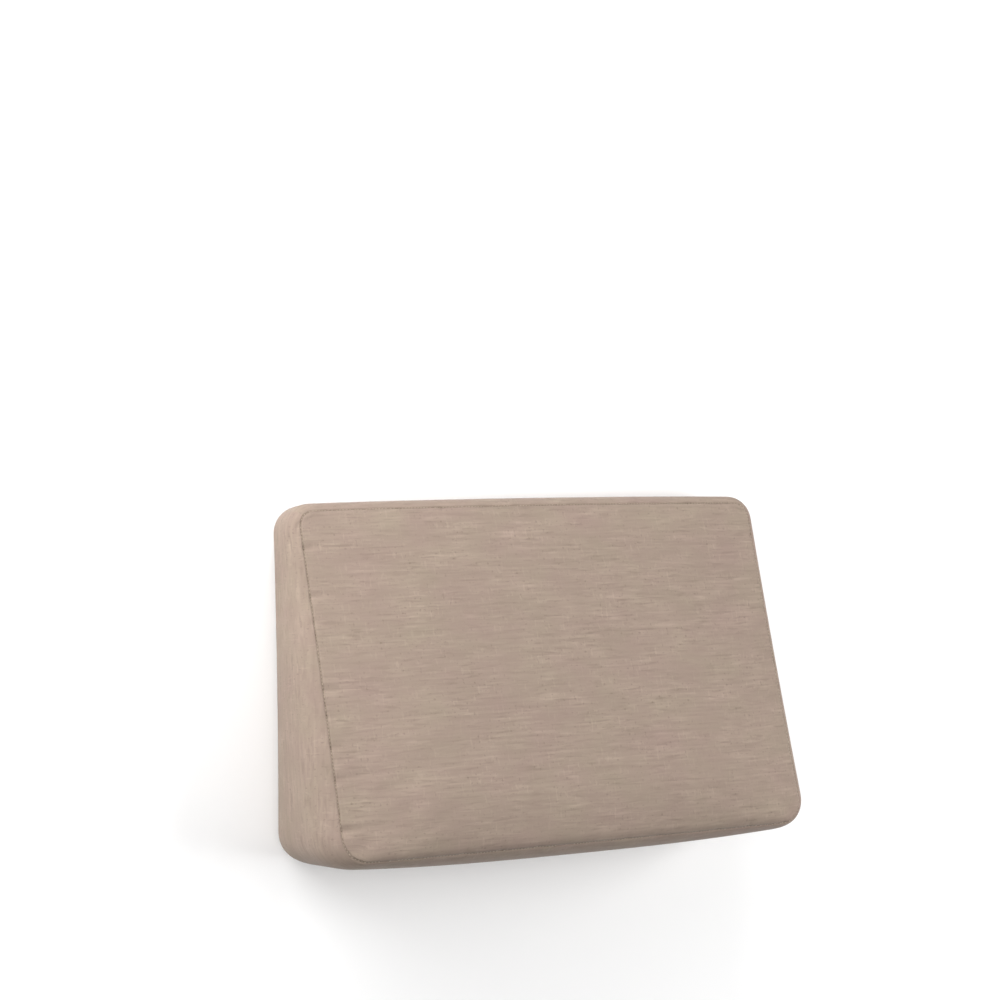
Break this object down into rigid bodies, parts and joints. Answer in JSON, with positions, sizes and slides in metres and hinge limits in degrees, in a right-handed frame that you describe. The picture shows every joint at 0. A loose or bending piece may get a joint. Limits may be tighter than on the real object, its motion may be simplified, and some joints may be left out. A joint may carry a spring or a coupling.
{
  "type": "back cushion",
  "caption": "Wedge-shaped rectangular back cushion: a crowned face panel that leans back, a boxing band that narrows from the thick lower edge to the thin upper edge, and a flat back.",
  "frame": {"origin": "under the middle of the cushion's outline, on the surface that it lies on", "axes": "+X across the cushion, +Y from its thick lower edge to its thin upper edge, +Z out of its face"},
  "size_m": [0.6492, 0.4136, 0.1729],
  "materials": {
    "canvas": "matt woven canvas"
  },
  "bodies": {
    "root": {"cushion": "canvas"}
  },
  "joints": []
}
